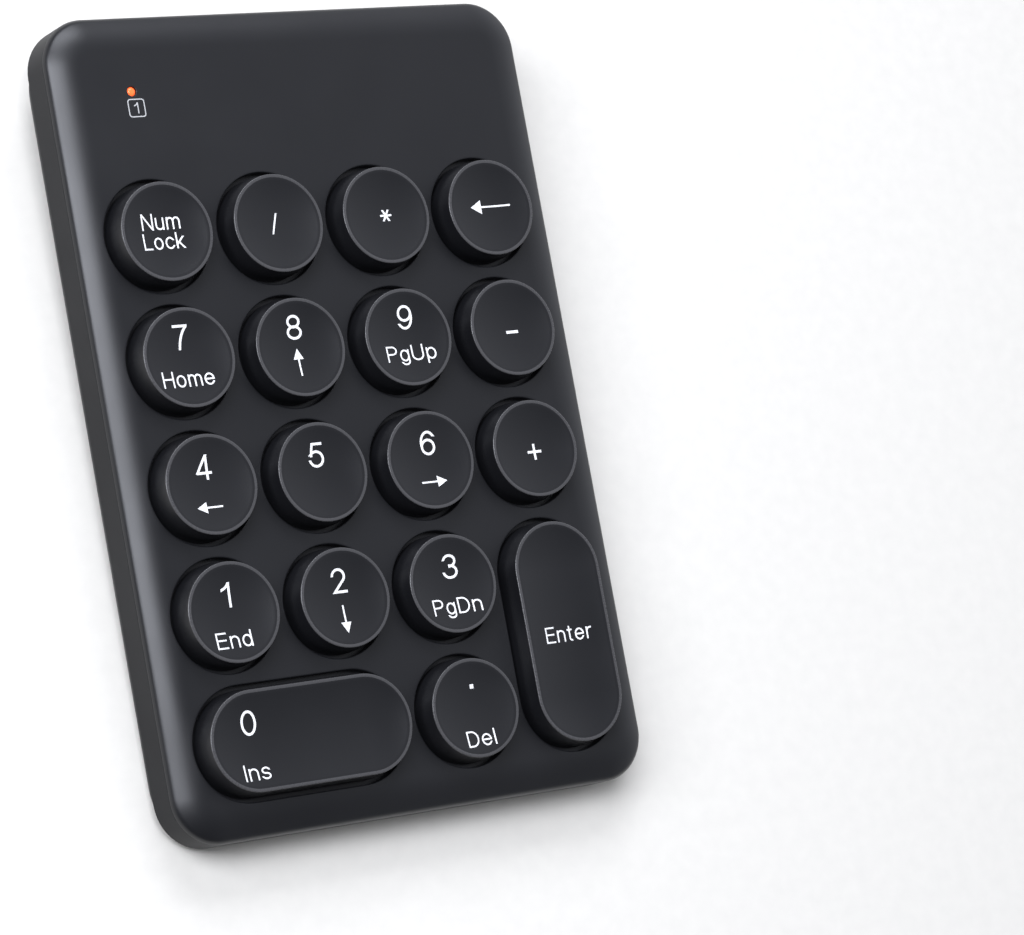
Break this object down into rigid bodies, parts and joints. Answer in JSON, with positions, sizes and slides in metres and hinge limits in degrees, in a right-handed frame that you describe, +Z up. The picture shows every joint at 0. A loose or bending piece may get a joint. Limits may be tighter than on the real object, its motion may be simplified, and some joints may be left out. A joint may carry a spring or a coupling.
{
  "type": "numeric keypad",
  "caption": "Wireless numeric keypad with round dished keys that travel on rubber domes in a wedge-shaped case with a sliding battery door.",
  "frame": {"origin": "on the resting plane of the feet, under the middle of the case", "axes": "+X to the user's right, +Y to the rear edge, +Z up"},
  "size_m": [0.083, 0.1254, 0.0187],
  "materials": {
    "case_plastic": "fine satin texture",
    "base_plastic": "fine satin texture",
    "key_plastic": "smooth satin",
    "key_rim": "polished edge",
    "legend_ink": "printed white",
    "foot_rubber": "matte",
    "dome_rubber": "translucent silicone",
    "guide_plastic": "moulded",
    "circuit_film": "clear film",
    "backing_metal": "plated",
    "screw_steel": "zinc plated",
    "contact_metal": "nickel plated",
    "board": "solder mask",
    "chip": "moulded epoxy",
    "led": "lit lens",
    "clear_plastic": "clear, lit from below",
    "knob_plastic": "moulded",
    "cell_jacket": "printed sleeve"
  },
  "bodies": {
    "case": {"top_cover": "case_plastic", "bottom_cover": "base_plastic", "rubber_feet": "foot_rubber", "case_screws": "screw_steel", "guide_plate": "guide_plastic", "upper_circuit_sheet": "circuit_film", "spacer_sheet": "circuit_film", "lower_circuit_sheet": "circuit_film", "backing_plate": "backing_metal", "main_board": "board", "control_chip": "chip", "status_led": "led", "light_pipe": "clear_plastic", "switch_body": "contact_metal", "cell_rear": "cell_jacket", "cell_front": "cell_jacket", "positive_contact": "contact_metal", "negative_contact": "contact_metal", "bridge_contact": "contact_metal", "contact_springs": "contact_metal", "dome_num_lock": "dome_rubber", "dome_divide": "dome_rubber", "dome_multiply": "dome_rubber", "dome_backspace": "dome_rubber", "dome_7": "dome_rubber", "dome_8": "dome_rubber", "dome_9": "dome_rubber", "dome_minus": "dome_rubber", "dome_4": "dome_rubber", "dome_5": "dome_rubber", "dome_6": "dome_rubber", "dome_plus": "dome_rubber", "dome_1": "dome_rubber", "dome_2": "dome_rubber", "dome_3": "dome_rubber", "dome_enter": "dome_rubber", "dome_0": "dome_rubber", "dome_decimal": "dome_rubber"},
    "battery_door": {"battery_door": "base_plastic"},
    "switch_knob": {"switch_knob": "knob_plastic"},
    "key_num_lock": {"cap_num_lock": "key_plastic"},
    "key_divide": {"cap_divide": "key_plastic"},
    "key_multiply": {"cap_multiply": "key_plastic"},
    "key_backspace": {"cap_backspace": "key_plastic"},
    "key_7": {"cap_7": "key_plastic"},
    "key_8": {"cap_8": "key_plastic"},
    "key_9": {"cap_9": "key_plastic"},
    "key_minus": {"cap_minus": "key_plastic"},
    "key_4": {"cap_4": "key_plastic"},
    "key_5": {"cap_5": "key_plastic"},
    "key_6": {"cap_6": "key_plastic"},
    "key_plus": {"cap_plus": "key_plastic"},
    "key_1": {"cap_1": "key_plastic"},
    "key_2": {"cap_2": "key_plastic"},
    "key_3": {"cap_3": "key_plastic"},
    "key_enter": {"cap_enter": "key_plastic"},
    "key_0": {"cap_0": "key_plastic"},
    "key_decimal": {"cap_decimal": "key_plastic"}
  },
  "joints": [
    {"name": "press_num_lock", "type": "slide", "parent": "case", "child": "key_num_lock", "axis": [0, -0.0576, 0.9983], "range_m": [-0.002, 0], "stiffness_N_per_m": 250, "deforming": ["dome_num_lock"]},
    {"name": "press_divide", "type": "slide", "parent": "case", "child": "key_divide", "axis": [0, -0.0576, 0.9983], "range_m": [-0.002, 0], "stiffness_N_per_m": 250, "deforming": ["dome_divide"]},
    {"name": "press_multiply", "type": "slide", "parent": "case", "child": "key_multiply", "axis": [0, -0.0576, 0.9983], "range_m": [-0.002, 0], "stiffness_N_per_m": 250, "deforming": ["dome_multiply"]},
    {"name": "press_backspace", "type": "slide", "parent": "case", "child": "key_backspace", "axis": [0, -0.0576, 0.9983], "range_m": [-0.002, 0], "stiffness_N_per_m": 250, "deforming": ["dome_backspace"]},
    {"name": "press_7", "type": "slide", "parent": "case", "child": "key_7", "axis": [0, -0.0576, 0.9983], "range_m": [-0.002, 0], "stiffness_N_per_m": 250, "deforming": ["dome_7"]},
    {"name": "press_8", "type": "slide", "parent": "case", "child": "key_8", "axis": [0, -0.0576, 0.9983], "range_m": [-0.002, 0], "stiffness_N_per_m": 250, "deforming": ["dome_8"]},
    {"name": "press_9", "type": "slide", "parent": "case", "child": "key_9", "axis": [0, -0.0576, 0.9983], "range_m": [-0.002, 0], "stiffness_N_per_m": 250, "deforming": ["dome_9"]},
    {"name": "press_minus", "type": "slide", "parent": "case", "child": "key_minus", "axis": [0, -0.0576, 0.9983], "range_m": [-0.002, 0], "stiffness_N_per_m": 250, "deforming": ["dome_minus"]},
    {"name": "press_4", "type": "slide", "parent": "case", "child": "key_4", "axis": [0, -0.0576, 0.9983], "range_m": [-0.002, 0], "stiffness_N_per_m": 250, "deforming": ["dome_4"]},
    {"name": "press_5", "type": "slide", "parent": "case", "child": "key_5", "axis": [0, -0.0576, 0.9983], "range_m": [-0.002, 0], "stiffness_N_per_m": 250, "deforming": ["dome_5"]},
    {"name": "press_6", "type": "slide", "parent": "case", "child": "key_6", "axis": [0, -0.0576, 0.9983], "range_m": [-0.002, 0], "stiffness_N_per_m": 250, "deforming": ["dome_6"]},
    {"name": "press_plus", "type": "slide", "parent": "case", "child": "key_plus", "axis": [0, -0.0576, 0.9983], "range_m": [-0.002, 0], "stiffness_N_per_m": 250, "deforming": ["dome_plus"]},
    {"name": "press_1", "type": "slide", "parent": "case", "child": "key_1", "axis": [0, -0.0576, 0.9983], "range_m": [-0.002, 0], "stiffness_N_per_m": 250, "deforming": ["dome_1"]},
    {"name": "press_2", "type": "slide", "parent": "case", "child": "key_2", "axis": [0, -0.0576, 0.9983], "range_m": [-0.002, 0], "stiffness_N_per_m": 250, "deforming": ["dome_2"]},
    {"name": "press_3", "type": "slide", "parent": "case", "child": "key_3", "axis": [0, -0.0576, 0.9983], "range_m": [-0.002, 0], "stiffness_N_per_m": 250, "deforming": ["dome_3"]},
    {"name": "press_enter", "type": "slide", "parent": "case", "child": "key_enter", "axis": [0, -0.0576, 0.9983], "range_m": [-0.002, 0], "stiffness_N_per_m": 250, "deforming": ["dome_enter"]},
    {"name": "press_0", "type": "slide", "parent": "case", "child": "key_0", "axis": [0, -0.0576, 0.9983], "range_m": [-0.002, 0], "stiffness_N_per_m": 250, "deforming": ["dome_0"]},
    {"name": "press_decimal", "type": "slide", "parent": "case", "child": "key_decimal", "axis": [0, -0.0576, 0.9983], "range_m": [-0.002, 0], "stiffness_N_per_m": 250, "deforming": ["dome_decimal"]},
    {"name": "door_slide", "type": "slide", "parent": "case", "child": "battery_door", "axis": [0, 1, 0], "range_m": [0, 0.03]},
    {"name": "power_slide", "type": "slide", "parent": "case", "child": "switch_knob", "axis": [1, 0, 0], "range_m": [0, 0.0025]}
  ]
}
